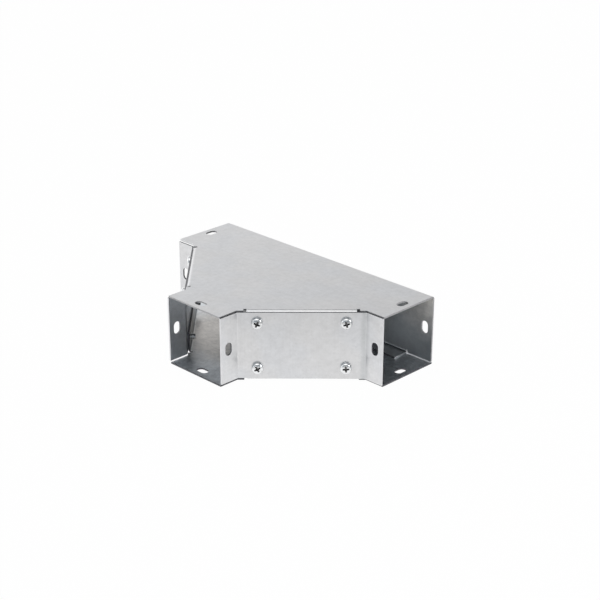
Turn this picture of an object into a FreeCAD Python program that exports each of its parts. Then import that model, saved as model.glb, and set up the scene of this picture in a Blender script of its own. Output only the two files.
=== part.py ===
import FreeCAD, Part
import math
import os

# A tee for square steel cable trunking, in millimetres, +Z up.
# The run lies along X and the branch leaves it towards -Y.
# The origin is where the two centre lines cross, on the underside.

# Arms
run_width = 50.0
branch_width = 50.0
height = 50.0
corner_leg = 60.0
arm_end = 15.0

# Sheet and its folds
sheet = 1.2
fold_radius = 1.2

# Flange along the foot of the back wall
flange_width = 13.5
flange_setback = 21.5
wall_gap = 0.5
relief_width = 0.4
relief_past_fold = 0.5

# Tabs that the corner covers are screwed to
tab_height = 15.0
notch_from_bend = 4.5
notch_width = 2.0
notch_past_fold = 0.5

# Corner covers, which stand on the outside of the plates' edges
cover_top_gap = 0.8

# Slots for the joint screws of the next length of trunking
slot_length = 9.0
slot_width = 5.5
slot_from_end = 6.5

# Cover screws
screw_from_bend = 13.3
screw_from_plate = 8.3
thread_diameter = 4.0
screw_length = 6.0
thread_clearance = 0.05
cover_hole_clearance = 0.25
head_diameter = 7.8
head_height = 3.0
head_rim = 1.5
head_shoulder = 1.3
tip_chamfer = 0.4
recess_span = 4.4
recess_foot_span = 1.6
recess_width = 1.0
recess_depth = 1.9

# How far each cover screw was driven round, in degrees
recess_turns = {
    ("right", "upper", "branch"): 20.0,
    ("right", "upper", "run"): 62.0,
    ("right", "lower", "branch"): 74.0,
    ("right", "lower", "run"): 50.0,
    ("left", "upper", "branch"): 8.0,
    ("left", "upper", "run"): 35.0,
    ("left", "lower", "branch"): 57.0,
    ("left", "lower", "run"): 81.0,
}

# Places worked out from the sizes above
Vector = FreeCAD.Vector
UP = Vector(0, 0, 1)
ALONG_RUN = Vector(1, 0, 0)
ALONG_BRANCH = Vector(0, -1, 0)
MIDDLE = Vector(0, 0, 0)

run_half = run_width / 2
branch_half = branch_width / 2
run_bend = branch_half + corner_leg
branch_bend = run_half + corner_leg
run_reach = run_bend + arm_end
branch_reach = branch_bend + arm_end
outer_fold = fold_radius + sheet
flange_reach = run_reach - flange_setback
flange_front = run_half - flange_width
wall_foot = sheet + wall_gap
cover_height = height - sheet - cover_top_gap
slot_level = (height + sheet) / 2
screw_levels = {"upper": height - screw_from_plate, "lower": sheet + screw_from_plate}
diagonal_length = corner_leg * math.sqrt(2)
tab_start = notch_from_bend + notch_width

# The right-hand diagonal: where it starts, which way it runs and which way is inwards
corner_start = Vector(branch_half, -branch_bend, 0)
corner_along = Vector(1, 1, 0).normalize()
corner_inward = Vector(-1, 1, 0).normalize()


def mirrored(shape):
    """The same shape on the other side of the branch."""
    return shape.mirror(MIDDLE, ALONG_RUN)


def both_sides(shape):
    """A shape and its mirror image."""
    return [shape, mirrored(shape)]


def offset_points(points, distance):
    """The points of a path moved sideways, with the corners kept sharp."""
    turned = []
    for start, end in zip(points, points[1:]):
        length = math.hypot(end[0] - start[0], end[1] - start[1])
        turned.append(((start[1] - end[1]) / length, (end[0] - start[0]) / length))
    moved = []
    for index, (x, y) in enumerate(points):
        before = turned[max(index - 1, 0)]
        after = turned[min(index, len(turned) - 1)]
        share = distance / (1 + before[0] * after[0] + before[1] * after[1])
        moved.append((x + share * (before[0] + after[0]), y + share * (before[1] + after[1])))
    return moved


def rounded_edges(points, radius):
    """Edges through the points, with a tangent arc at each inner point."""
    edges = []
    start = points[0]
    for before, corner, after in zip(points, points[1:], points[2:]):
        back = (before - corner).normalize()
        ahead = (after - corner).normalize()
        half_angle = back.getAngle(ahead) / 2
        trim = radius / math.tan(half_angle)
        middle = (back + ahead).normalize() * (radius / math.sin(half_angle) - radius)
        arc_start = corner + back * trim
        arc_end = corner + ahead * trim
        edges.append(Part.makeLine(start, arc_start))
        edges.append(Part.Arc(arc_start, corner + middle, arc_end).toShape())
        start = arc_end
    edges.append(Part.makeLine(start, points[-1]))
    return edges


def folded_sheet(path, offset, path_radius, offset_radius, origin, across, upward, sweep):
    """A folded strip: a path and its offset joined into a section, swept along a straight line."""
    near = [origin + across * x + upward * y for x, y in path]
    far = [origin + across * x + upward * y for x, y in offset_points(path, offset)]
    edges = rounded_edges(near, path_radius)
    edges += rounded_edges(far, offset_radius)
    edges.append(Part.makeLine(near[0], far[0]))
    edges.append(Part.makeLine(near[-1], far[-1]))
    section = Part.Face(Part.Wire(Part.__sortEdges__(edges)))
    return section.extrude(sweep)


def slot_cutter(centre, along, through):
    """A round-ended slot that passes through one wall."""
    radius = slot_width / 2
    side = along.cross(through) * radius
    end = along * (slot_length / 2 - radius)
    tip = along * (slot_length / 2)
    base = centre - through * (2 * sheet)
    edges = [
        Part.makeLine(base - end + side, base + end + side),
        Part.Arc(base + end + side, base + tip, base + end - side).toShape(),
        Part.makeLine(base + end - side, base - end - side),
        Part.Arc(base - end - side, base - tip, base - end + side).toShape(),
    ]
    return Part.Face(Part.Wire(edges)).extrude(through * (4 * sheet))


def arm_ends():
    """Direction, reach and half width of the right, left and branch arms."""
    return [
        (ALONG_RUN, run_reach, run_half),
        (-ALONG_RUN, run_reach, run_half),
        (ALONG_BRANCH, branch_reach, branch_half),
    ]


def plate_slots():
    """One slot across the end of each arm of a plate."""
    cutters = []
    for direction, reach, _half in arm_ends():
        centre = direction * (reach - slot_from_end) + UP * (sheet / 2)
        cutters.append(slot_cutter(centre, UP.cross(direction), UP))
    return cutters


def side_slots():
    """One upright slot in each side wall of each arm."""
    cutters = []
    for direction, reach, half in arm_ends():
        across = UP.cross(direction)
        for side in (-1, 1):
            centre = direction * (reach - slot_from_end) + across * (side * half) + UP * slot_level
            cutters.append(slot_cutter(centre, UP, across))
    return cutters


def corner_block(start, end, depth, thickness):
    """A block over a stretch of the right-hand diagonal, from outside it to a depth inwards."""
    overhang = sheet
    first = corner_start + corner_along * start - corner_inward * overhang - UP * thickness
    corners = [
        first,
        first + corner_along * (end - start),
        first + corner_along * (end - start) + corner_inward * (depth + overhang),
        first + corner_inward * (depth + overhang),
        first,
    ]
    return Part.Face(Part.makePolygon(corners)).extrude(UP * (3 * thickness))


def tab_relief():
    """The edge strip that the right-hand tab replaces, with a notch at each end of its fold."""
    strip = corner_block(notch_from_bend, diagonal_length - notch_from_bend, outer_fold, sheet)
    notch_depth = outer_fold + notch_past_fold
    first = corner_block(notch_from_bend, tab_start, notch_depth, sheet)
    second = corner_block(diagonal_length - tab_start, diagonal_length - notch_from_bend, notch_depth, sheet)
    return strip.fuse([first, second])


def screw_columns():
    """End and place, at floor level, of the screws on the outside of the right-hand cover."""
    outside = corner_start - corner_inward * sheet
    return [
        ("branch", outside + corner_along * screw_from_bend),
        ("run", outside + corner_along * (diagonal_length - screw_from_bend)),
    ]


def screw_holes(radius, levels):
    """Round holes through the right-hand cover and tabs at the given levels."""
    holes = []
    for level in levels:
        for _end, place in screw_columns():
            start = place + UP * level - corner_inward * sheet
            holes.append(Part.makeCylinder(radius, 4 * sheet, start, corner_inward))
    return holes


def screw_tab(hole_level):
    """The right-hand tab with its fold, standing up from a plate on the floor of the tee."""
    path = [(2 * outer_fold, 0), (0, 0), (0, tab_height)]
    origin = corner_start + corner_along * tab_start
    sweep = corner_along * (diagonal_length - 2 * tab_start)
    tab = folded_sheet(path, -sheet, outer_fold, fold_radius, origin, corner_inward, UP, sweep)
    return tab.cut(screw_holes(thread_diameter / 2 + thread_clearance, [hole_level]))


def tee_plate(back_edge, hole_level):
    """A flat tee with its tabs folded up, lying on the floor of the tee."""
    outline = [
        (run_reach, back_edge),
        (run_reach, -run_half),
        (run_bend, -run_half),
        (branch_half, -branch_bend),
        (branch_half, -branch_reach),
    ]
    corners = [Vector(x, y, 0) for x, y in outline]
    corners += [Vector(-x, y, 0) for x, y in reversed(outline)]
    corners.append(corners[0])
    plate = Part.Face(Part.makePolygon(corners)).extrude(UP * sheet)
    plate = plate.cut(both_sides(tab_relief()) + plate_slots())
    return plate.fuse(both_sides(screw_tab(hole_level))).removeSplitter()


def bottom_plate():
    """The separate floor of the tee."""
    return tee_plate(run_half, screw_levels["lower"])


def back_strip(start, end, foot_points):
    """The back wall between two places along the run, folded from the top plate."""
    path = [(run_half - 2 * outer_fold, height), (run_half, height)] + foot_points
    origin = ALONG_RUN * start
    sweep = ALONG_RUN * (end - start)
    return folded_sheet(path, -sheet, outer_fold, fold_radius, origin, -ALONG_BRANCH, UP, sweep)


def flange_reliefs():
    """A slit beside each end of the fold of the flange."""
    start = Vector(flange_reach, run_half - outer_fold, 0)
    slit = Part.makeBox(relief_width, 2 * outer_fold, sheet + outer_fold + relief_past_fold, start)
    return both_sides(slit)


def body_shell():
    """The top plate, the back wall and the inward flange at its foot, folded from one blank."""
    top = tee_plate(run_half - outer_fold, height - screw_levels["upper"]).mirror(UP * (height / 2), UP)
    plain_foot = [(run_half, wall_foot)]
    flanged_foot = [(run_half, sheet), (flange_front, sheet)]
    middle = back_strip(-flange_reach, flange_reach, flanged_foot)
    end = back_strip(flange_reach, run_reach, plain_foot)
    shell = top.fuse([middle] + both_sides(end)).removeSplitter()
    return shell.cut(side_slots() + flange_reliefs())


def corner_cover():
    """The right-hand cover: a diagonal panel with a folded wing at each end, outside the plates' edges."""
    path = [
        (branch_half, -branch_reach),
        (branch_half, -branch_bend),
        (run_bend, -run_half),
        (run_reach, -run_half),
    ]
    origin = UP * sheet
    sweep = UP * cover_height
    cover = folded_sheet(path, -sheet, outer_fold, fold_radius, origin, ALONG_RUN, -ALONG_BRANCH, sweep)
    holes = screw_holes(thread_diameter / 2 + cover_hole_clearance, screw_levels.values())
    return cover.cut(side_slots() + holes)


def recess_wing(turn):
    """One wing of the cross recess, tapered towards its foot and turned about the screw's axis."""
    foot = head_height - recess_depth
    rim = head_height + recess_depth
    flare = (recess_span - recess_foot_span) / 2
    corners = [
        Vector(-recess_foot_span / 2, -recess_width / 2, foot),
        Vector(recess_foot_span / 2, -recess_width / 2, foot),
        Vector(recess_span / 2, -recess_width / 2, head_height),
        Vector(recess_span / 2 + flare, -recess_width / 2, rim),
        Vector(-recess_span / 2 - flare, -recess_width / 2, rim),
        Vector(-recess_span / 2, -recess_width / 2, head_height),
        Vector(-recess_foot_span / 2, -recess_width / 2, foot),
    ]
    wing = Part.Face(Part.makePolygon(corners)).extrude(Vector(0, recess_width, 0))
    return wing.rotate(MIDDLE, UP, turn)


def cover_screw(turn):
    """A pan-head screw on the vertical axis, with the underside of its head at the origin."""
    thread_radius = thread_diameter / 2
    head_radius = head_diameter / 2
    profile = [
        Vector(0, 0, -screw_length),
        Vector(thread_radius - tip_chamfer, 0, -screw_length),
        Vector(thread_radius, 0, -screw_length + tip_chamfer),
        Vector(thread_radius, 0, 0),
        Vector(head_radius, 0, 0),
        Vector(head_radius, 0, head_rim),
        Vector(head_radius - head_shoulder, 0, head_height),
        Vector(0, 0, head_height),
        Vector(0, 0, -screw_length),
    ]
    screw = Part.Face(Part.makePolygon(profile)).revolve(MIDDLE, UP, 360)
    return screw.cut([recess_wing(turn), recess_wing(turn + 90)])


def placed_screw(side, level, end, place):
    """A cover screw driven in from outside the diagonal of the right or left corner."""
    outward = -corner_inward
    if side == "left":
        place = Vector(-place.x, place.y, place.z)
        outward = Vector(-outward.x, outward.y, outward.z)
    screw = cover_screw(recess_turns[(side, level, end)])
    screw.Placement = FreeCAD.Placement(place, FreeCAD.Rotation(UP, outward))
    return screw


def all_parts():
    """Every piece of the tee by name."""
    right_cover = corner_cover()
    parts = {
        "body_shell": body_shell(),
        "bottom_plate": bottom_plate(),
        "right_corner_cover": right_cover,
        "left_corner_cover": mirrored(right_cover),
    }
    for level, z in screw_levels.items():
        for end, place in screw_columns():
            for side in ("right", "left"):
                name = side + "_cover_screw_" + level + "_" + end
                parts[name] = placed_screw(side, level, end, place + UP * z)
    return parts


os.makedirs("parts", exist_ok=True)
for name, shape in all_parts().items():
    shape.exportStep("parts/" + name + ".step")
    print(name, "solids", len(shape.Solids), "valid", shape.isValid(), "volume", round(shape.Volume, 2))
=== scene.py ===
"""Looks of a tee for square steel cable trunking: folded galvanised sheets and pan-head cover screws."""

import logging
import math
from collections.abc import Callable, Iterator, Sequence
from contextlib import contextmanager
from dataclasses import dataclass, field
from enum import Enum

import bmesh
import bpy
from mathutils import Matrix, Vector


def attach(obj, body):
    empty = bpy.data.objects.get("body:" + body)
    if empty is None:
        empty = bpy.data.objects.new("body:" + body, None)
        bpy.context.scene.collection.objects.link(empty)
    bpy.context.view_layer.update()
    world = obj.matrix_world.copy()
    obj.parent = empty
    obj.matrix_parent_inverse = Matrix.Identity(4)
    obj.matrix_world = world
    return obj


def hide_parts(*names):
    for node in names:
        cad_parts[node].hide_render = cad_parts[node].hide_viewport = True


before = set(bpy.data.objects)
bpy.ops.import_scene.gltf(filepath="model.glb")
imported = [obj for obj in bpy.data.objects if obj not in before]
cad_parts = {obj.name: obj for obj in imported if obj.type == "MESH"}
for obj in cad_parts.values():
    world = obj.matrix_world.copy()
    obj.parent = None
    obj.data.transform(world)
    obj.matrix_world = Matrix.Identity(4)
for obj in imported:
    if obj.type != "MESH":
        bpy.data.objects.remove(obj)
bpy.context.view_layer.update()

log = logging.getLogger("trunking_tee")

MM = 0.001
UP = Vector((0.0, 0.0, 1.0))
ROOT = "root"

Colour = tuple[float, float, float, float]
Piece = bpy.types.Object


class Grain(Enum):
    """Which way the rolling marks of a sheet run, as the stretch of a pattern along X, Y and Z."""

    ALONG_RUN = (0.02, 1.0, 1.0)
    UPRIGHT = (1.0, 1.0, 0.02)


class Side(Enum):
    """The two corners of the tee, as the sign of X."""

    RIGHT = 1.0
    LEFT = -1.0


def select_only(*chosen: Piece) -> None:
    """Select these objects alone, with the last one active."""
    bpy.ops.object.select_all(action="DESELECT")
    for piece in chosen:
        piece.select_set(True)
    bpy.context.view_layer.objects.active = chosen[-1]


@contextmanager
def edit_mode(piece: Piece) -> Iterator[None]:
    """Open a piece in edit mode with everything selected, and close it again.

    Args:
        piece: The object to edit.
    """
    select_only(piece)
    bpy.ops.object.mode_set(mode="EDIT")
    bpy.ops.mesh.select_all(action="SELECT")
    yield
    bpy.ops.object.mode_set(mode="OBJECT")


def no_face(_face: bmesh.types.BMFace) -> bool:
    """No face at all."""
    return False


def pick_faces(piece: Piece, test: Callable[[bmesh.types.BMFace], bool]) -> None:
    """Select, in edit mode, only the faces that pass a test.

    Args:
        piece: The object in edit mode.
        test: Says whether a face is wanted.
    """
    bpy.ops.mesh.select_mode(type="FACE")
    bpy.ops.mesh.select_all(action="DESELECT")
    shape = bmesh.from_edit_mesh(piece.data)
    for face in shape.faces:
        face.select_set(test(face))
    bmesh.update_edit_mesh(piece.data)


def pick_vertices(piece: Piece, test: Callable[[Vector], bool]) -> None:
    """Select, in edit mode, only the vertices that pass a test, with what lies between them.

    Args:
        piece: The object in edit mode.
        test: Says whether a vertex is wanted, from its place.
    """
    bpy.ops.mesh.select_mode(type="VERT")
    bpy.ops.mesh.select_all(action="DESELECT")
    shape = bmesh.from_edit_mesh(piece.data)
    for vertex in shape.verts:
        vertex.select_set(test(vertex.co))
    shape.select_flush(True)
    bmesh.update_edit_mesh(piece.data)


def apply_modifier(piece: Piece, kind: str, **settings: object) -> None:
    """Add a modifier to a piece, set it and apply it.

    Args:
        piece: The object to change.
        kind: The modifier's type.
        settings: Its properties.
    """
    select_only(piece)
    modifier = piece.modifiers.new(kind.lower(), kind)
    for name, value in settings.items():
        setattr(modifier, name, value)
    bpy.ops.object.modifier_apply(modifier=modifier.name)


def combine(piece: Piece, tool: Piece, operation: str) -> None:
    """Join, cut or keep what a piece shares with a tool, and remove the tool.

    Args:
        piece: The object that stays.
        tool: The object that is used up.
        operation: UNION, DIFFERENCE or INTERSECT.
    """
    apply_modifier(piece, "BOOLEAN", object=tool, operation=operation, solver="EXACT")
    bpy.data.objects.remove(tool)


def move(piece: Piece, matrix: Matrix) -> None:
    """Move a piece and put its new place into its mesh.

    Args:
        piece: The object to move.
        matrix: Where it goes.
    """
    piece.matrix_world = matrix
    select_only(piece)
    bpy.ops.object.transform_apply(location=True, rotation=True, scale=True)


def new_primitive(name: str, add: Callable[..., set[str]], **settings: object) -> Piece:
    """A named primitive with its place in its mesh.

    Args:
        name: The new object's name.
        add: The operator that adds the primitive.
        settings: The operator's properties.

    Returns:
        The new object.
    """
    bpy.ops.object.select_all(action="DESELECT")
    add(**settings)
    piece = bpy.context.active_object
    piece.name = name
    bpy.ops.object.transform_apply(location=True, rotation=True, scale=True)
    return piece


def turned(name: str, profile: Sequence[tuple[float, float]], sides: int) -> Piece:
    """A turned solid: a short cylinder whose top is drawn up ring by ring.

    Args:
        name: The new object's name.
        profile: Radius and height of each ring, from the foot up.
        sides: Number of sides.

    Returns:
        The new object, upright on the Z axis.
    """
    (radius, foot), (next_radius, height) = profile[0], profile[1]
    piece = new_primitive(
        name,
        bpy.ops.mesh.primitive_cylinder_add,
        vertices=sides,
        radius=radius,
        depth=height - foot,
        location=(0.0, 0.0, (height + foot) / 2),
    )
    with edit_mode(piece):
        pick_faces(piece, lambda face: face.normal.z > 0.9)
        for following, ring_height in profile[1:]:
            if ring_height > height:
                rise = (0.0, 0.0, ring_height - height)
                bpy.ops.mesh.extrude_region_move(TRANSFORM_OT_translate={"value": rise})
            share = following / radius
            bpy.ops.transform.resize(value=(share, share, 1.0))
            radius, height = following, ring_height
    return piece


def shade(piece: Piece, crease: float) -> None:
    """Smooth a piece up to a crease angle, with flat faces kept flat.

    Args:
        piece: The object to shade.
        crease: The angle in degrees above which an edge stays sharp.
    """
    select_only(piece)
    bpy.ops.object.shade_smooth_by_angle(angle=math.radians(crease))
    apply_modifier(piece, "WEIGHTED_NORMAL", keep_sharp=True, weight=100)


class Wire:
    """One output of a shader node, with sums and products that add Math nodes."""

    def __init__(self, tree: bpy.types.NodeTree, socket: bpy.types.NodeSocket) -> None:
        """Wrap a socket of a node tree."""
        self.tree = tree
        self.socket = socket

    def _math(self, operation: str, first: "Wire | float", second: "Wire | float") -> "Wire":
        """Add a Math node.

        Args:
            operation: The node's operation.
            first: Its first value.
            second: Its second value.

        Returns:
            The node's result.
        """
        return ShaderTree(self.tree).add("ShaderNodeMath", {"operation": operation}, {0: first, 1: second})

    def __add__(self, other: "Wire | float") -> "Wire":
        """This value plus another."""
        return self._math("ADD", self, other)

    def __radd__(self, other: float) -> "Wire":
        """A number plus this value."""
        return self._math("ADD", other, self)

    def __sub__(self, other: "Wire | float") -> "Wire":
        """This value less another."""
        return self._math("SUBTRACT", self, other)

    def __rsub__(self, other: float) -> "Wire":
        """A number less this value."""
        return self._math("SUBTRACT", other, self)

    def __mul__(self, other: "Wire | float") -> "Wire":
        """This value times another."""
        return self._math("MULTIPLY", self, other)

    def __rmul__(self, other: float) -> "Wire":
        """A number times this value."""
        return self._math("MULTIPLY", other, self)


class ShaderTree:
    """The nodes of a material or a world."""

    def __init__(self, tree: bpy.types.NodeTree) -> None:
        """Wrap a node tree."""
        self.tree = tree

    def add(
        self,
        kind: str,
        settings: dict[str, object] | None = None,
        inputs: dict[str | int, object] | None = None,
        output: str | int = 0,
    ) -> Wire:
        """Add a node.

        Args:
            kind: The node's type.
            settings: Its properties, which are set first.
            inputs: The values or wires of its sockets, by name or place.
            output: The name or place of the output that is wanted.

        Returns:
            That output.
        """
        node = self.tree.nodes.new(kind)
        for name, value in (settings or {}).items():
            setattr(node, name, value)
        for key, value in (inputs or {}).items():
            socket = self._find(node.inputs, key)
            if isinstance(value, Wire):
                self.tree.links.new(value.socket, socket)
            else:
                socket.default_value = value
        return Wire(self.tree, self._find(node.outputs, output) if node.outputs else None)

    @staticmethod
    def _find(sockets: Sequence[bpy.types.NodeSocket], key: str | int) -> bpy.types.NodeSocket:
        """The socket that a node uses now under a name, or at a place."""
        if isinstance(key, int):
            return sockets[key]
        return next(socket for socket in sockets if socket.name == key and socket.enabled)

    def place(self, stretch: tuple[float, float, float], shift: tuple[float, float, float]) -> Wire:
        """Object coordinates, stretched and moved for one pattern.

        Args:
            stretch: How much finer the pattern is along each axis.
            shift: How far the pattern is moved.

        Returns:
            The coordinates.
        """
        here = self.add("ShaderNodeTexCoord", output="Object")
        return self.add("ShaderNodeMapping", {}, {"Vector": here, "Scale": stretch, "Location": shift})

    def noise(self, place: Wire, size: float, detail: float = 2.0) -> Wire:
        """Soft noise from 0 to 1.

        Args:
            place: The coordinates.
            size: Width of its patches in metres.
            detail: Number of finer layers.

        Returns:
            The noise.
        """
        inputs = {"Vector": place, "Scale": 1.0 / size, "Detail": detail, "Roughness": 0.55}
        return self.add("ShaderNodeTexNoise", {}, inputs, "Fac")

    def mix(self, share: Wire | float, first: object, second: object, way: str = "MIX") -> Wire:
        """Mix two colours.

        Args:
            share: How much of the second colour is used.
            first: The first colour.
            second: The second colour.
            way: How they mix.

        Returns:
            The mixed colour.
        """
        settings = {"data_type": "RGBA", "blend_type": way}
        return self.add("ShaderNodeMix", settings, {"Factor": share, "A": first, "B": second}, "Result")

    def ramp(self, value: Wire, low: float, high: float) -> Wire:
        """Spread the stretch between two values over 0 to 1, with smooth ends.

        Args:
            value: The value to spread.
            low: What becomes 0.
            high: What becomes 1.

        Returns:
            The spread value.
        """
        settings = {"interpolation_type": "SMOOTHSTEP"}
        inputs = {"Value": value, "From Min": low, "From Max": high}
        return self.add("ShaderNodeMapRange", settings, inputs, "Result")

    def compare(self, operation: str, first: Wire, second: tuple[float, float, float]) -> Wire:
        """One number from a vector and a fixed vector.

        Args:
            operation: DISTANCE or DOT_PRODUCT.
            first: The vector.
            second: The fixed vector.

        Returns:
            The number.
        """
        return self.add("ShaderNodeVectorMath", {"operation": operation}, {0: first, 1: second}, "Value")

    def grey(self, value: Wire) -> Wire:
        """The grey of a value."""
        return self.add("ShaderNodeCombineColor", {}, {0: value, 1: value, 2: value})

    def metal(self, colour: Wire, roughness: Wire, height: Wire, depth: float) -> None:
        """End a material as bare metal with a fine relief.

        Args:
            colour: Its base colour.
            roughness: Its roughness.
            height: The relief's pattern.
            depth: The relief's depth in metres.
        """
        bump = self.add("ShaderNodeBump", {}, {"Strength": 1.0, "Distance": depth, "Height": height})
        inputs = {"Base Color": colour, "Metallic": 1.0, "Roughness": roughness, "Normal": bump}
        surface = self.add("ShaderNodeBsdfPrincipled", {}, inputs)
        self.add("ShaderNodeOutputMaterial", {}, {"Surface": surface})


def empty_material(name: str) -> tuple[bpy.types.Material, ShaderTree]:
    """A new material with no nodes.

    Args:
        name: The material's name.

    Returns:
        The material and its nodes.
    """
    material = bpy.data.materials.new(name)
    material.use_nodes = True
    material.node_tree.nodes.clear()
    return material, ShaderTree(material.node_tree)


@dataclass(frozen=True)
class TonePatch:
    """A patch of another colour, and of more roughness by its dulling, on one part of a sheet, in metres.

    It lies round a place, or round a line along each axis where its spread is zero.
    """

    place: tuple[float, float, float]
    reach: float
    soft: float
    colour: Colour
    dulling: float = 0.0
    ragged: float = 0.02
    spread: tuple[float, float, float] = (1.0, 1.0, 1.0)

    def share(self, tree: ShaderTree, ripples: Wire) -> Wire:
        """How much of the patch there is at each place.

        Args:
            tree: The nodes that need it.
            ripples: What makes its rim ragged.

        Returns:
            The share.
        """
        away = tree.compare("DISTANCE", tree.place(self.spread, (0.0, 0.0, 0.0)), self.place)
        return tree.ramp(self.reach + self.ragged * ripples - away, 0.0, self.soft)


@dataclass(frozen=True)
class GalvanisedSheet:
    """Hot-dip zinc on rolled steel: pale and satin, with faint crystals, clouds and rolling marks."""

    name: str
    grain: Grain
    cool: Colour = (0.738, 0.744, 0.760, 1.0)
    warm: Colour = (0.752, 0.750, 0.755, 1.0)
    contrast: float = 0.75
    tone_patch: TonePatch | None = None
    roughness: float = 0.34
    cloud_size: float = 0.018
    mottle_size: float = 0.0042
    crystal_size: float = 0.0016
    streak_size: float = 0.0012
    wave_size: float = 0.055
    relief: float = 0.00022

    def build(self) -> bpy.types.Material:
        """Make the material.

        Returns:
            The material.
        """
        material, tree = empty_material(self.name)
        here = tree.place((1.0, 1.0, 1.0), (0.0, 0.0, 0.0))
        rolled = tree.place(self.grain.value, (0.3, 0.1, 0.2))
        clouds = tree.noise(here, self.cloud_size, 3.0)
        mottle = tree.noise(here, self.mottle_size, 3.0)
        streaks = tree.noise(rolled, self.streak_size, 2.0)
        waves = tree.noise(here, self.wave_size, 0.0)
        tint = tree.noise(tree.place((1.0, 1.0, 1.0), (0.7, 0.2, 0.5)), self.cloud_size * 1.6, 1.0)
        inputs = {"Vector": here, "Scale": 1.0 / self.crystal_size}
        crystals = tree.add("ShaderNodeTexVoronoi", {}, inputs, "Color")
        facet = tree.add("ShaderNodeSeparateColor", {}, {0: crystals}, 0)
        pattern = 0.20 * clouds + 0.28 * mottle + 0.08 * streaks + 0.08 * facet - 0.31
        light = 0.97 + self.contrast * pattern
        zinc = tree.mix(tree.ramp(tint, 0.35, 0.65), self.cool, self.warm)
        roughness = self.roughness - 0.06 + 0.05 * clouds + 0.05 * mottle + 0.03 * facet
        # The tone patch: on some sheets painted light or painted shade, on the floor a plain tint.
        if self.tone_patch:
            share = self.tone_patch.share(tree, clouds + 0.5 * mottle)
            zinc = tree.mix(share, zinc, self.tone_patch.colour)
            roughness = roughness + self.tone_patch.dulling * share
        colour = tree.mix(1.0, zinc, tree.grey(light), "MULTIPLY")
        height = 0.7 * waves + 0.02 * mottle + 0.006 * facet + 0.006 * streaks
        tree.metal(colour, roughness, height, self.relief)
        return material


@dataclass(frozen=True)
class CutEdge:
    """The sheared or punched edge of the sheet: bare steel with a smear of zinc. Some copies are made
    darker as painted shade or lighter as painted highlight, and one paints the shade in a screw recess.
    """

    name: str
    burnished: Colour
    torn: Colour
    roughness: float = 0.42
    tear_size: float = 0.0006
    relief: float = 0.00003

    def build(self) -> bpy.types.Material:
        """Make the material.

        Returns:
            The material.
        """
        material, tree = empty_material(self.name)
        tears = tree.noise(tree.place((1.0, 1.0, 1.0), (0.1, 0.4, 0.9)), self.tear_size, 3.0)
        patches = tree.noise(tree.place((1.0, 1.0, 1.0), (0.6, 0.3, 0.2)), 12.0 * self.tear_size)
        colour = tree.mix(tree.ramp(0.6 * tears + 0.4 * patches, 0.42, 0.68), self.burnished, self.torn)
        tree.metal(colour, self.roughness + 0.14 * tears, tears, self.relief)
        return material


# Painted shade: the cross recess is coloured dark where shade falls in it.
RECESS_SHADE = CutEdge("screw_recess", (0.26, 0.26, 0.26, 1.0), (0.10, 0.10, 0.10, 1.0))
# Dark sheared steel, made darker still as painted shade: edges in gaps and at the foot, and the painted
# shadow line at the flange's front.
DARK_STEEL_AND_SHADE_EDGE = CutEdge("punched_edge", (0.13, 0.13, 0.14, 1.0), (0.06, 0.06, 0.07, 1.0))
# Painted shade: half-dark cut edges for the left cover, for the shade in its gaps.
HALF_SHADE_EDGE = CutEdge("worn_edge", (0.27, 0.27, 0.28, 1.0), (0.17, 0.17, 0.18, 1.0))
PLAIN_EDGE = CutEdge("plain_edge", (0.46, 0.46, 0.47, 1.0), (0.34, 0.34, 0.35, 1.0))
# Zinc-coated rims on the covers; on the body, a painted highlight on the flange ends and on the plate's
# edge over the rear wing.
COATED_AND_HIGHLIT_EDGE = CutEdge("coated_edge", (0.80, 0.80, 0.81, 1.0), (0.70, 0.70, 0.71, 1.0))


@dataclass(frozen=True)
class BrightZinc:
    """Bright zinc plate on the screws."""

    name: str = "bright_zinc"
    clear: Colour = (0.88, 0.89, 0.90, 1.0)
    dull: Colour = (0.66, 0.66, 0.65, 1.0)
    roughness: float = 0.16
    patch_size: float = 0.0016
    relief: float = 0.000008

    def build(self) -> bpy.types.Material:
        """Make the material.

        Returns:
            The material.
        """
        material, tree = empty_material(self.name)
        here = tree.place((1.0, 1.0, 1.0), (0.2, 0.8, 0.4))
        patches = tree.noise(here, self.patch_size, 3.0)
        grain = tree.noise(here, self.patch_size / 8.0, 2.0)
        colour = tree.mix(tree.ramp(patches, 0.45, 0.75), self.clear, self.dull)
        tree.metal(colour, self.roughness + 0.10 * patches + 0.05 * grain, grain, self.relief)
        return material


@dataclass
class WeldMark:
    """The shallow dish that a spot-welding electrode leaves, in millimetres."""

    radius: float = 2.4
    depth: float = 0.12
    overhang: float = 1.25
    sides: int = 32
    rings: int = 4

    def cutter(self, place: Vector, face_up: bool) -> Piece:
        """A button whose domed end presses the dish into a face.

        Args:
            place: The middle of the dish on the face.
            face_up: Whether the face looks up.

        Returns:
            The button.
        """
        profile = [(self.radius * self.overhang, -1.0)]
        for ring in range(self.rings + 1):
            radius = self.radius * self.overhang * (1.0 - ring / (self.rings + 0.5))
            profile.append((radius, self.depth * (1.0 - (radius / self.radius) ** 2)))
        button = turned("weld_button", profile, self.sides)
        turn = Matrix.Rotation(math.pi if face_up else 0.0, 4, "X")
        move(button, Matrix.Translation(place) @ turn)
        return button


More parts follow.
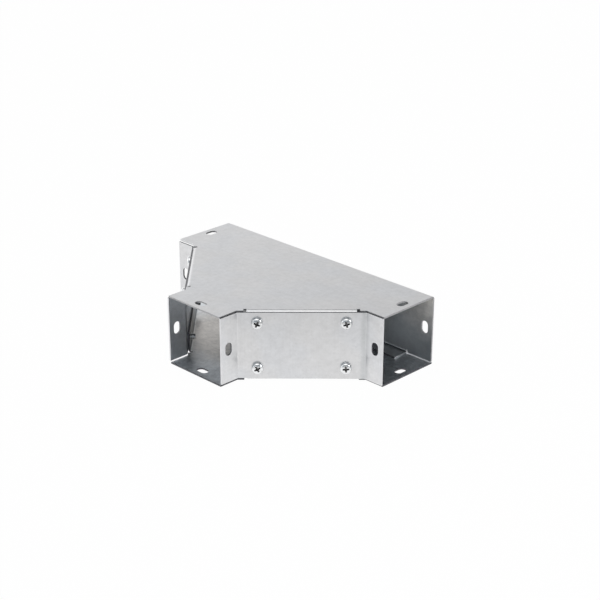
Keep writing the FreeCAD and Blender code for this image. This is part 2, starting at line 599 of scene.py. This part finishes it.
@dataclass
class FoldedSheet:
    """One folded sheet of the tee, with softened edges, in millimetres.

    A sheet can sit lower than its CAD node by its drop. Its foot is then lifted from there, in front of a
    line across the tee.
    """

    node: str
    finish: GalvanisedSheet
    inside_tone: GalvanisedSheet
    edge: CutEdge
    bright_edges: Callable[[bmesh.types.BMFace], bool]
    weld_places: Sequence[tuple[float, float, float]] = ()
    welds_face_up: bool = False
    ledges_inside: bool = True
    painted_shadow_edges: Callable[[bmesh.types.BMFace], bool] = no_face
    drop: float = 0.0
    foot_lift: float = 0.0
    lift_before: float = 0.0
    heart: tuple[float, float, float] = (0.0, -20.0, 25.0)
    edge_round: float = 0.14
    edge_steps: int = 2
    flat_angle: float = 1.0
    fold_angle: float = 35.0

    def solid_copy(self) -> Piece:
        """A copy of the CAD node, merged into one skin with whole flat faces.

        Returns:
            The copy, in millimetres.
        """
        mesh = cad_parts[self.node].data.copy()
        piece = bpy.data.objects.new(self.node + "_sheet", mesh)
        bpy.context.scene.collection.objects.link(piece)
        mesh.materials.clear()
        move(piece, Matrix.Translation((0.0, 0.0, -self.drop)) @ Matrix.Scale(1.0 / MM, 4))
        with edit_mode(piece):
            bpy.ops.mesh.customdata_custom_splitnormals_clear()
            bpy.ops.mesh.remove_doubles(threshold=0.001)
            bpy.ops.mesh.dissolve_limited(angle_limit=math.radians(self.flat_angle))
        return piece

    def lift_foot(self, piece: Piece) -> None:
        """Raise the lowest edge of a piece, which shortens its wings."""
        foot = min(vertex.co.z for vertex in piece.data.vertices)
        with edit_mode(piece):
            pick_vertices(piece, lambda place: place.z < foot + 0.01 and place.y < self.lift_before)
            bpy.ops.transform.translate(value=(0.0, 0.0, self.foot_lift))

    def press_welds(self, piece: Piece) -> None:
        """Press the marks of the spot welds into a piece."""
        for place in self.weld_places:
            combine(piece, WeldMark().cutter(Vector(place), self.welds_face_up), "DIFFERENCE")

    def looks_inward(self, face: bmesh.types.BMFace) -> bool:
        """Whether a face looks towards the heart of the tee and takes the inside tone."""
        towards_heart = face.normal.dot(Vector(self.heart) - face.calc_center_median()) > 0.0
        return towards_heart and (self.ledges_inside or face.normal.z < 0.9)

    def dress(self, piece: Piece) -> None:
        """Give the skin, the edges, the bright edges (partly painted highlight), the inside (painted shade
        or light on the body and covers) and the painted shadow edges their materials.

        Args:
            piece: The merged copy.
        """
        for finish in (self.finish, self.edge, COATED_AND_HIGHLIT_EDGE, self.inside_tone, DARK_STEEL_AND_SHADE_EDGE):
            piece.data.materials.append(bpy.data.materials[finish.name])
        largest = sorted(face.area for face in piece.data.polygons)[-2]
        with edit_mode(piece):
            pick_faces(piece, lambda face: face.calc_area() >= largest * 0.999)
            bpy.ops.mesh.faces_select_linked_flat(sharpness=math.radians(self.fold_angle))
            bpy.ops.mesh.select_all(action="INVERT")
            piece.active_material_index = 1
            bpy.ops.object.material_slot_assign()
            # These picks give painted highlight, painted shadow and the inside tone.
            exceptions = ((1, 2, self.bright_edges), (1, 4, self.painted_shadow_edges), (0, 3, self.looks_inward))
            for old_slot, new_slot, test in exceptions:
                pick_faces(piece, lambda face: face.material_index == old_slot and test(face))
                piece.active_material_index = new_slot
                bpy.ops.object.material_slot_assign()

    def build(self) -> Piece:
        """Make the sheet and put it in the place of its CAD node.

        Returns:
            The finished sheet.
        """
        piece = self.solid_copy()
        if self.foot_lift:
            self.lift_foot(piece)
        self.press_welds(piece)
        self.dress(piece)
        apply_modifier(
            piece,
            "BEVEL",
            width=self.edge_round,
            segments=self.edge_steps,
            limit_method="ANGLE",
            angle_limit=math.radians(self.fold_angle),
            loop_slide=False,
            use_clamp_overlap=False,
        )
        shade(piece, self.fold_angle)
        move(piece, Matrix.Scale(MM, 4))
        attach(piece, ROOT)
        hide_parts(self.node)
        log.info("%s: %d faces", piece.name, len(piece.data.polygons))
        return piece


@dataclass
class PanHeadScrew:
    """A pan-head machine screw with a cross recess, in millimetres, driven in from above."""

    head_radius: float = 3.9
    head_foot_step: float = 0.15
    head_foot_rise: float = 0.2
    head_rim: float = 1.35
    head_shoulder: float = 1.5
    shoulder_rise: float = 1.35
    head_height: float = 3.0
    thread_radius: float = 1.97
    thread_depth: float = 0.4
    pitch: float = 0.7
    length: float = 6.0
    crest_share: float = 0.18
    tip_chamfer: float = 0.5
    margin: float = 0.5
    recess_span: float = 4.8
    recess_foot_span: float = 2.0
    recess_width: float = 1.25
    recess_foot_width: float = 0.9
    recess_depth: float = 1.9
    hub_radius: float = 1.15
    hub_foot_radius: float = 0.55
    sides: int = 48
    hub_sides: int = 24
    thread_steps: int = 24
    edge_round: float = 0.07
    crease: float = 38.0

    def head(self) -> Piece:
        """The head: a short upright rim, a rounded shoulder and a slightly domed crown."""
        profile = [(self.head_radius - self.head_foot_step, 0.0), (self.head_radius, self.head_foot_rise)]
        profile.append((self.head_radius, self.head_rim))
        flat = self.head_radius - self.head_shoulder
        for degrees in (15, 30, 45, 60, 75, 90):
            angle = math.radians(degrees)
            radius = flat + self.head_shoulder * math.cos(angle)
            profile.append((radius, self.head_rim + self.shoulder_rise * math.sin(angle)))
        shoulder_top = self.head_rim + self.shoulder_rise
        crown = self.head_height - shoulder_top
        for share in (0.75, 0.5, 0.25, 0.05):
            profile.append((flat * share, shoulder_top + crown * (1.0 - share**2)))
        return turned("screw_head", profile, self.sides)

    def recess_wing(self, turn: float) -> Piece:
        """One tapered wing of the cross recess.

        Args:
            turn: How far it is turned about the screw's axis, in degrees.

        Returns:
            The wing, with its foot at the bottom of the recess.
        """
        foot = self.head_height - self.recess_depth
        top = self.head_height + self.recess_depth
        wing = new_primitive(
            "recess_wing", bpy.ops.mesh.primitive_cube_add, size=1.0, location=(0.0, 0.0, foot + 0.5)
        )
        flare = 2.0 * self.recess_span - self.recess_foot_span
        wider = 2.0 * self.recess_width - self.recess_foot_width
        with edit_mode(wing):
            pick_faces(wing, lambda face: face.normal.z < -0.9)
            bpy.ops.transform.resize(value=(self.recess_foot_span, self.recess_foot_width, 1.0))
            pick_faces(wing, lambda face: face.normal.z > 0.9)
            bpy.ops.transform.resize(value=(flare, wider, 1.0))
            bpy.ops.transform.translate(value=(0.0, 0.0, top - foot - 1.0))
        move(wing, Matrix.Rotation(math.radians(turn), 4, "Z"))
        return wing

    def cut_recess(self, head: Piece) -> None:
        """Cut the two wings and the round hub of the recess out of a head.

        Args:
            head: The head that is cut.
        """
        foot = self.head_height - self.recess_depth
        hub = [(self.hub_foot_radius * 0.3, foot - 0.25), (self.hub_foot_radius, foot)]
        hub.append((2.0 * self.hub_radius - self.hub_foot_radius, self.head_height + self.recess_depth))
        combine(head, turned("recess_hub", hub, self.hub_sides), "DIFFERENCE")
        for turn in (0.0, 90.0):
            combine(head, self.recess_wing(turn), "DIFFERENCE")
        # The recess walls and foot take the dark colour: painted shade.
        for name in (BrightZinc.name, RECESS_SHADE.name):
            head.data.materials.append(bpy.data.materials[name])
        with edit_mode(head):
            pick_faces(head, self.in_recess)
            head.active_material_index = 1
            bpy.ops.object.material_slot_assign()

    def in_recess(self, face: bmesh.types.BMFace) -> bool:
        """Whether a face of the head is a wall or the foot of its recess."""
        middle = face.calc_center_median()
        wall = abs(face.normal.z) < 0.6
        foot = middle.z < self.head_height - self.recess_depth / 2
        return middle.to_2d().length < self.recess_span / 2 and middle.z > 0.1 and (wall or foot)

    def thread(self) -> Piece:
        """The threaded shank: one tooth swept round as a helix, then cut to length and chamfered.

        Returns:
            The shank, from its tip up to a little inside the head.
        """
        turns = math.ceil(self.length / self.pitch) + 3
        foot = -self.length - self.pitch
        root = self.thread_radius - self.thread_depth
        middle = root + self.thread_depth / 2
        upright = (math.pi / 2, 0, 0)
        tooth = new_primitive("thread", bpy.ops.mesh.primitive_plane_add, size=1.0, rotation=upright)
        place = Matrix.Translation((middle, 0.0, foot + self.pitch / 2))
        move(tooth, place @ Matrix.Diagonal((self.thread_depth, 1.0, self.pitch, 1.0)))
        with edit_mode(tooth):
            bpy.ops.mesh.delete(type="ONLY_FACE")
            pick_vertices(tooth, lambda place: place.x > middle)
            bpy.ops.transform.resize(value=(1.0, 1.0, self.crest_share))
            bpy.ops.mesh.select_mode(type="EDGE")
            bpy.ops.mesh.select_all(action="DESELECT")
            shape = bmesh.from_edit_mesh(tooth.data)
            for edge in shape.edges:
                edge.select_set(all(vertex.co.x < middle for vertex in edge.verts))
            bmesh.update_edit_mesh(tooth.data)
            bpy.ops.mesh.delete(type="EDGE")
        apply_modifier(
            tooth,
            "SCREW",
            axis="Z",
            angle=2.0 * math.pi,
            screw_offset=self.pitch,
            iterations=turns,
            steps=self.thread_steps,
            render_steps=self.thread_steps,
            use_merge_vertices=True,
            merge_threshold=0.0005,
        )
        for height, outward in ((-self.length, -UP), (self.margin, UP)):
            with edit_mode(tooth):
                bpy.ops.mesh.remove_doubles(threshold=0.0005)
                bpy.ops.mesh.bisect(
                    plane_co=(0.0, 0.0, height), plane_no=outward, use_fill=True, clear_outer=True
                )
        with edit_mode(tooth):
            bpy.ops.mesh.normals_make_consistent(inside=False)
        tip = self.thread_radius - self.tip_chamfer
        beyond = self.thread_radius + self.margin
        chamfer_top = -self.length + self.tip_chamfer + self.margin
        envelope = [(tip, -self.length), (beyond, chamfer_top), (beyond, 0.8 * self.margin)]
        combine(tooth, turned("thread_envelope", envelope, self.sides), "INTERSECT")
        return tooth

    def build(self) -> Piece:
        """Make the screw, upright with the underside of its head at the origin.

        Returns:
            The screw in millimetres, as the pattern for all the others.
        """
        screw = self.head()
        self.cut_recess(screw)
        with edit_mode(screw):
            bpy.ops.mesh.remove_doubles(threshold=self.edge_round / 4)
            bpy.ops.mesh.dissolve_limited(angle_limit=math.radians(0.5))
        apply_modifier(
            screw,
            "BEVEL",
            width=self.edge_round,
            segments=1,
            limit_method="ANGLE",
            angle_limit=math.radians(self.crease),
            loop_slide=False,
        )
        combine(screw, self.thread(), "UNION")
        with edit_mode(screw):
            bpy.ops.mesh.remove_doubles(threshold=0.002)
        shade(screw, self.crease)
        return screw


@dataclass
class CornerScrews:
    """The eight cover screws in their places, in millimetres and degrees."""

    arm_half: float = 25.0
    corner_leg: float = 60.0
    height: float = 50.0
    sheet: float = 1.2
    from_bend: float = 13.3
    from_plate: float = 8.3
    turns: dict[tuple[Side, str, str], float] = field(
        default_factory=lambda: {
            (Side.RIGHT, "upper", "branch"): 20.0,
            (Side.RIGHT, "upper", "run"): 62.0,
            (Side.RIGHT, "lower", "branch"): 74.0,
            (Side.RIGHT, "lower", "run"): 50.0,
            (Side.LEFT, "upper", "branch"): 8.0,
            (Side.LEFT, "upper", "run"): 35.0,
            (Side.LEFT, "lower", "branch"): 57.0,
            (Side.LEFT, "lower", "run"): 81.0,
        }
    )

    def place(self, side: Side, level: str, end: str) -> Vector:
        """Where the underside of a screw's head sits.

        Args:
            side: Which corner.
            level: Upper or lower.
            end: Towards the branch or the run.

        Returns:
            The place in millimetres.
        """
        step = self.from_bend / math.sqrt(2.0)
        along = step if end == "branch" else self.corner_leg - step
        z = self.height - self.from_plate if level == "upper" else self.sheet + self.from_plate
        out = self.sheet / math.sqrt(2.0)
        x = self.arm_half + along + out
        return Vector((side.value * x, along - self.arm_half - self.corner_leg - out, z))

    def build(self) -> list[Piece]:
        """Copy one screw to all eight places.

        Returns:
            The screws.
        """
        pattern = PanHeadScrew().build()
        screws = []
        for (side, level, end), turn in self.turns.items():
            node = f"{side.name.lower()}_cover_screw_{level}_{end}"
            screw = pattern.copy()
            screw.data = pattern.data.copy()
            screw.name = node + "_zinc"
            bpy.context.scene.collection.objects.link(screw)
            outward = Vector((side.value, -1.0, 0.0)).normalized()
            stand = UP.rotation_difference(outward).to_matrix().to_4x4()
            spin = Matrix.Rotation(math.radians(turn), 4, "Z")
            place = Matrix.Translation(self.place(side, level, end))
            move(screw, Matrix.Scale(MM, 4) @ place @ stand @ spin)
            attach(screw, ROOT)
            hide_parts(node)
            log.info("%s: turned %.0f degrees", screw.name, turn)
            screws.append(screw)
        bpy.data.objects.remove(pattern)
        return screws


@dataclass
class TrunkingTee:
    """The whole tee: the body, its floor, two corner covers and eight screws."""

    weld_x: Sequence[float] = (-54.0, -18.0, 18.0, 54.0)
    weld_y: float = 17.5
    flange_top: float = 2.4
    flange_reach: float = 78.5
    flange_line: float = 11.5
    # Painted light: a pale, warm patch inside the back wall at the top of the right opening, where light
    # comes in; its dulling adds real roughness.
    rim_painted_light: TonePatch = TonePatch((0.098, 0.024, 0.048), 0.026, 0.040, (0.98, 0.96, 0.93, 1.0), 0.46)
    # Painted shade: a soft dark upright band down the right bend of the right cover.
    fold_painted_shade: TonePatch = TonePatch(
        place=(0.085, -0.026, 0.0),
        reach=0.0045,
        soft=0.0035,
        colour=(0.635, 0.645, 0.655, 1.0),
        ragged=0.0,
        spread=(1.0, 1.0, 0.0),
    )
    # A darker, warmer patch round the middle of the floor's inside.
    floor_tint: TonePatch = TonePatch((-0.020, -0.030, 0.001), 0.050, 0.030, (0.580, 0.558, 0.535, 1.0))

    def lit_edge(self, face: bmesh.types.BMFace) -> bool:
        """Whether a face of the body is an end of its flange or the plate's edge over the rear wing, which
        take a painted highlight.
        """
        middle = face.calc_center_median()
        flange_end = abs(abs(middle.x) - self.flange_reach) < 0.5 and middle.z < 2.0 * self.flange_top
        over_wing = middle.x < -self.flange_reach and face.normal.y < -0.9 and middle.y < -self.flange_line
        return flange_end or over_wing

    @staticmethod
    def cover_rim(face: bmesh.types.BMFace) -> bool:
        """Whether a face of a cover is the rim of one of its wings."""
        return face.calc_area() > 40.0 and max(abs(face.normal.x), abs(face.normal.y)) > 0.99

    def flange_front(self, face: bmesh.types.BMFace) -> bool:
        """Whether a face of the body is the sheared front of its flange, which is coloured dark as a
        painted shadow line.
        """
        middle = face.calc_center_median()
        return abs(middle.y - self.flange_line) < 0.5 and middle.z < self.flange_top

    def build(self) -> list[Piece]:
        """Build every piece.

        Returns:
            The pieces.
        """
        rolled_along = GalvanisedSheet("galvanised_along_run", Grain.ALONG_RUN)
        rolled_up = GalvanisedSheet("galvanised_upright", Grain.UPRIGHT)
        floor_blue = ((0.740, 0.770, 0.800, 1.0), (0.750, 0.775, 0.800, 1.0))
        # Painted shade: the body's inside is coloured far darker and bluer than its outside, for the shade
        # inside the trunking.
        painted_shade_blue = ((0.345, 0.368, 0.388, 1.0), (0.372, 0.388, 0.402, 1.0))
        # Painted light: the covers' insides are coloured lighter and bluer than their outsides.
        painted_light_blue = ((0.885, 0.910, 0.945, 1.0), (0.895, 0.915, 0.945, 1.0))
        shaded_inside_along = GalvanisedSheet("dull_along_run", Grain.ALONG_RUN, *painted_shade_blue, tone_patch=self.rim_painted_light)
        lit_inside_up = GalvanisedSheet("dull_upright", Grain.UPRIGHT, *painted_light_blue)
        # The floor's inside: bluer, with stronger mottling and the darker patch.
        tinted_floor = GalvanisedSheet(
            "stained_floor", Grain.ALONG_RUN, *floor_blue, contrast=2.4, tone_patch=self.floor_tint
        )
        # The right cover's outside, with painted shade down its bend.
        fold_shaded = GalvanisedSheet("galvanised_creased", Grain.UPRIGHT, tone_patch=self.fold_painted_shade)
        for finish in (rolled_along, rolled_up, fold_shaded, shaded_inside_along, lit_inside_up, tinted_floor):
            finish.build()
        for finish in (DARK_STEEL_AND_SHADE_EDGE, HALF_SHADE_EDGE, PLAIN_EDGE, COATED_AND_HIGHLIT_EDGE, RECESS_SHADE, BrightZinc()):
            finish.build()
        on_flange = [(x, self.weld_y, self.flange_top) for x in self.weld_x]
        under_floor = [(x, self.weld_y, 0.0) for x in self.weld_x]
        sheets = [
            FoldedSheet(
                "body_shell",
                rolled_along,
                shaded_inside_along,
                PLAIN_EDGE,
                self.lit_edge,
                on_flange,
                welds_face_up=True,
                ledges_inside=False,
                painted_shadow_edges=self.flange_front,
            ),
            # The floor's cut edges: dark steel with painted shade, as they face the shadow at the foot.
            FoldedSheet("bottom_plate", rolled_along, tinted_floor, DARK_STEEL_AND_SHADE_EDGE, no_face, under_floor),
            FoldedSheet(
                "right_corner_cover",
                fold_shaded,
                lit_inside_up,
                DARK_STEEL_AND_SHADE_EDGE,
                self.cover_rim,
                foot_lift=0.7,
                lift_before=-80.0,
            ),
            FoldedSheet(
                "left_corner_cover",
                rolled_up,
                lit_inside_up,
                HALF_SHADE_EDGE,
                self.cover_rim,
                drop=1.0,
                foot_lift=1.8,
            ),
        ]
        return [sheet.build() for sheet in sheets] + CornerScrews().build()


@dataclass
class Studio:
    """A plain white floor with soft studio light."""

    floor_width: float = 12.0
    floor_drop: float = 0.0002
    floor_white: Colour = (0.94, 0.94, 0.94, 1.0)
    background_share: float = 0.98
    fade_start: float = 0.11
    fade_end: float = 0.42
    fade_far: float = 0.50
    towards_front: tuple[float, float, float] = (0.71, -0.71, 0.0)
    sky_top: Colour = (0.95, 0.95, 0.95, 1.0)
    sky_back: Colour = (0.93, 0.93, 0.93, 1.0)
    sky_high: Colour = (0.42, 0.43, 0.44, 1.0)
    sky_front: Colour = (0.16, 0.20, 0.23, 1.0)
    sky_behind: tuple[float, float, float] = (-0.80, 0.60, 0.0)
    sky_left: tuple[float, float, float] = (-0.71, -0.71, 0.0)
    left_gain: float = 0.72
    sky_overhead: tuple[float, float, float] = (0.15, -0.15, 0.977)
    key_power: float = 2.2
    key_size: float = 1.2
    key_place: tuple[float, float, float] = (0.54, -0.54, 1.63)
    side_power: float = 6.0
    side_size: float = 0.7
    side_place: tuple[float, float, float] = (1.5, 0.35, 0.75)

    @staticmethod
    def seen_directly(tree: ShaderTree) -> Wire:
        """1 for rays from the camera, reflections and glass, and 0 for those that only light.

        Args:
            tree: The nodes that need it.

        Returns:
            The share.
        """
        camera = tree.add("ShaderNodeLightPath", output="Is Camera Ray")
        glossy = tree.add("ShaderNodeLightPath", output="Is Glossy Ray")
        through = tree.add("ShaderNodeLightPath", output="Is Transmission Ray")
        settings = {"operation": "ADD", "use_clamp": True}
        return tree.add("ShaderNodeMath", settings, {0: camera + glossy, 1: through})

    def floor(self) -> Piece:
        """The floor, which shows white and keeps the shadow, and which in reflections dims towards the
        front as a painted reflection.

        Returns:
            The floor.
        """
        material, tree = empty_material("white_floor")
        lit = tree.add("ShaderNodeBsdfDiffuse", {}, {"Color": self.floor_white})
        here = tree.place((1.0, 1.0, 1.0), (0.0, 0.0, 0.0))
        # Painted reflection: seen in reflections, the floor dims away towards the front, so the covers
        # reflect it darker higher up.
        away = tree.compare("DOT_PRODUCT", here, self.towards_front)
        fading = tree.ramp(away, self.fade_start, self.fade_end)
        mirrored = tree.add("ShaderNodeLightPath", output="Is Glossy Ray")
        white = 1.0 - (1.0 - self.fade_far) * fading * mirrored
        plain = tree.add("ShaderNodeEmission", {}, {"Color": tree.grey(white), "Strength": 1.0})
        share = self.background_share * self.seen_directly(tree)
        surface = tree.add("ShaderNodeMixShader", {}, {0: share, 1: lit, 2: plain})
        tree.add("ShaderNodeOutputMaterial", {}, {"Surface": surface})
        floor = new_primitive(
            "studio_floor",
            bpy.ops.mesh.primitive_plane_add,
            size=self.floor_width,
            location=(0.0, 0.0, -self.floor_drop),
        )
        floor.data.materials.append(material)
        return floor

    def sky(self) -> None:
        """Plain soft light from all round, brighter from behind and from the left than from the front."""
        world = bpy.data.worlds.new("studio")
        world.use_nodes = True
        world.node_tree.nodes.clear()
        tree = ShaderTree(world.node_tree)
        towards = tree.add("ShaderNodeTexCoord", output="Generated")
        behind = tree.compare("DOT_PRODUCT", towards, self.sky_behind)
        overhead = tree.compare("DOT_PRODUCT", towards, self.sky_overhead)
        left = tree.compare("DOT_PRODUCT", towards, self.sky_left)
        height = tree.add("ShaderNodeSeparateXYZ", {}, {0: towards}, "Z")
        around = tree.mix(tree.ramp(behind, -0.9, 0.15), self.sky_front, self.sky_back)
        upper = tree.mix(tree.ramp(height, 0.44, 0.58), around, self.sky_high)
        colour = tree.mix(tree.ramp(overhead, 0.80, 0.88), upper, self.sky_top)
        light = tree.mix(1.0, colour, tree.grey(1.0 + self.left_gain * left), "MULTIPLY")
        soft = tree.add("ShaderNodeBackground", {}, {"Color": light, "Strength": 1.0})
        tree.add("ShaderNodeOutputWorld", {}, {"Surface": soft})
        bpy.context.scene.world = world

    @staticmethod
    def soft_lamp(name: str, place: tuple[float, float, float], size: float, power: float) -> Piece:
        """A round soft lamp that looks at the tee.

        Args:
            name: The lamp's name.
            place: Where it stands.
            size: Its diameter.
            power: Its power in watts.

        Returns:
            The lamp.
        """
        bpy.ops.object.light_add(type="AREA", location=place)
        lamp = bpy.context.active_object
        lamp.name = name
        lamp.data.shape = "DISK"
        lamp.data.size = size
        lamp.data.energy = power
        lamp.rotation_euler = Vector(place).to_track_quat("Z", "Y").to_euler()
        return lamp

    def build(self) -> None:
        """Set up the floor, the sky and the lamps."""
        self.floor()
        self.sky()
        self.soft_lamp("key_lamp", self.key_place, self.key_size, self.key_power)
        self.soft_lamp("side_lamp", self.side_place, self.side_size, self.side_power)
        bpy.context.scene.view_settings.view_transform = "Standard"


@dataclass
class StudioCamera:
    """The camera, at the angle of the reference view, in metres and degrees."""

    place: tuple[float, float, float] = (0.658816, -0.665347, 0.425625)
    heading: float = 44.7696
    elevation: float = 23.206
    roll: float = 0.1491
    lens: float = 86.675
    sensor: float = 36.0

    def build(self) -> Piece:
        """Add the camera and make it the scene's own.

        Returns:
            The camera.
        """
        camera = bpy.data.objects.new("camera", bpy.data.cameras.new("camera"))
        bpy.context.scene.collection.objects.link(camera)
        camera.data.lens = self.lens
        camera.data.sensor_width = self.sensor
        camera.data.clip_start = 0.01
        camera.location = self.place
        turn = Matrix.Rotation(math.radians(self.heading), 3, "Z")
        tilt = Matrix.Rotation(math.radians(90.0 - self.elevation), 3, "X")
        lean = Matrix.Rotation(math.radians(self.roll), 3, "Z")
        camera.rotation_euler = (turn @ tilt @ lean).to_euler()
        bpy.context.scene.camera = camera
        return camera


def main() -> None:
    """Build the tee and its studio."""
    logging.basicConfig(level=logging.INFO, format="%(name)s: %(message)s")
    pieces = TrunkingTee().build()
    Studio().build()
    StudioCamera().build()
    log.info("%d pieces", len(pieces))


if __name__ == "__main__":
    main()
